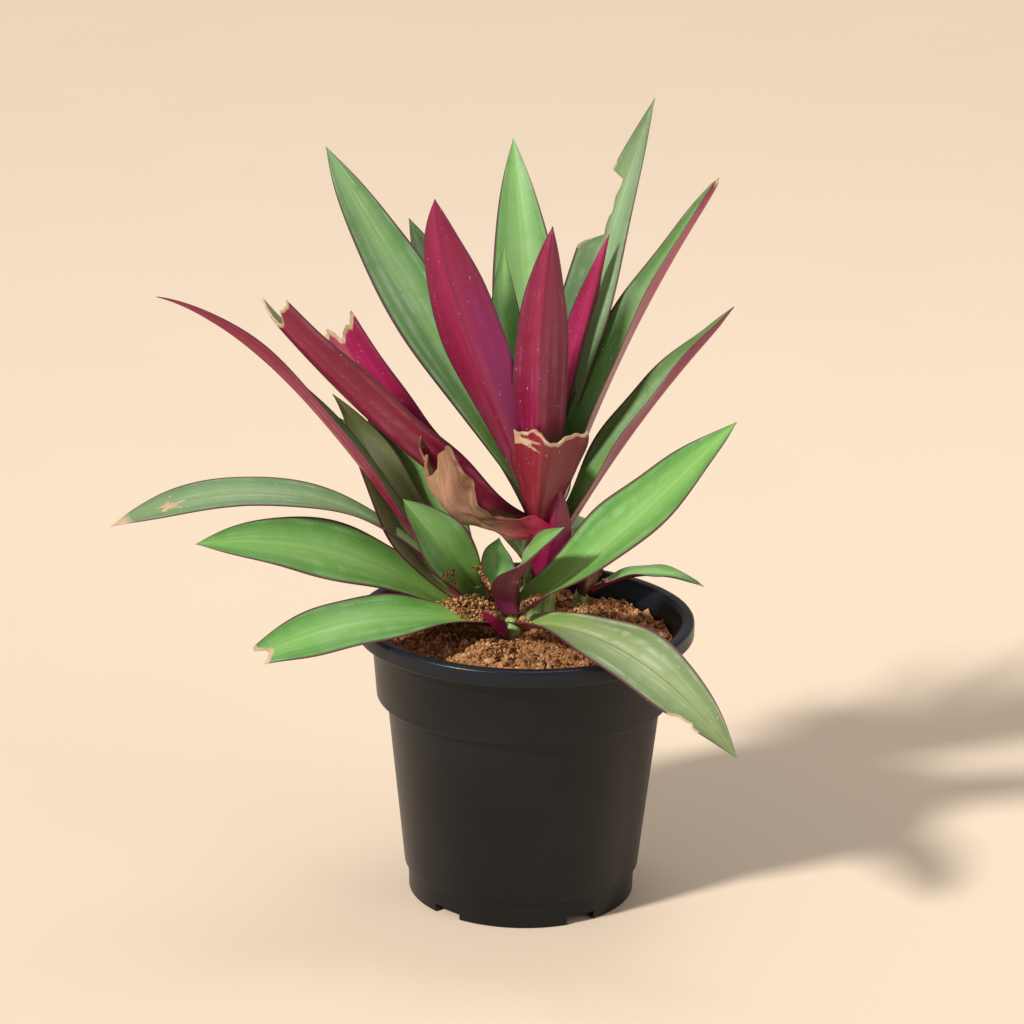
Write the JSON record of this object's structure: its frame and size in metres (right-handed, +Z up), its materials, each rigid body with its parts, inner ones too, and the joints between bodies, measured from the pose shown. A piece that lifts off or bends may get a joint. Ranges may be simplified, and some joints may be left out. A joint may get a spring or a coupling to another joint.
{
  "type": "potted oyster plant",
  "caption": "Oyster plant with sword-shaped green and purple leaves in rosettes, growing from soil in a round tapered plastic nursery pot.",
  "frame": {"origin": "centre of the pot's foot plane, on the pot's axis", "axes": "+Z up along the pot's axis, +X to the right and -Y towards a viewer standing in front"},
  "size_m": [0.271, 0.2177, 0.3503],
  "materials": {
    "pot_plastic": "satin black moulded plastic",
    "soil": "rough, crumbly",
    "stem": "smooth, fleshy",
    "leaf_green": "waxy, satin",
    "leaf_dark_green": "waxy, satin",
    "leaf_grey_green": "dusty, satin",
    "leaf_bright_green": "waxy, satin",
    "leaf_purple": "waxy, satin",
    "leaf_olive": "mottled, satin",
    "leaf_brown": "dry, papery"
  },
  "bodies": {
    "root": {"nursery_pot": "pot_plastic", "potting_soil": "soil", "soil_clump_left": "soil", "soil_clump_front": "soil", "soil_clump_right": "soil", "soil_clump_back": "soil", "main_stem": "stem", "left_stem": "stem", "front_stem": "stem", "side_stem": "stem", "centre_purple_leaf": "leaf_purple", "torn_cup": "leaf_purple", "tall_left_leaf": "leaf_green", "left_purple_leaf": "leaf_purple", "centre_back_leaf": "leaf_green", "bitten_tall_leaf": "leaf_grey_green", "right_upper_leaf": "leaf_green", "right_middle_leaf": "leaf_green", "rolled_left_leaf": "leaf_purple", "torn_left_leaf": "leaf_purple", "back_left_leaf": "leaf_dark_green", "young_centre_leaf": "leaf_green", "young_right_leaf": "leaf_purple", "brown_curled_leaf": "leaf_brown", "side_sheath": "leaf_purple", "big_right_leaf": "leaf_bright_green", "drooping_right_leaf": "leaf_grey_green", "twisted_front_leaf": "leaf_green", "small_inner_leaf": "leaf_green", "lower_left_leaf": "leaf_green", "broad_left_leaf": "leaf_green", "long_left_leaf": "leaf_grey_green", "thin_left_leaf": "leaf_purple", "left_outer_leaf": "leaf_olive", "left_inner_leaf": "leaf_dark_green", "small_back_left_leaf": "leaf_green", "small_front_left_leaf": "leaf_green", "purple_shoot": "leaf_purple", "thin_right_leaf": "leaf_green", "dry_stub": "leaf_brown", "back_low_leaf": "leaf_dark_green", "back_low_left_leaf": "leaf_dark_green", "back_low_right_leaf": "leaf_dark_green"}
  },
  "joints": []
}
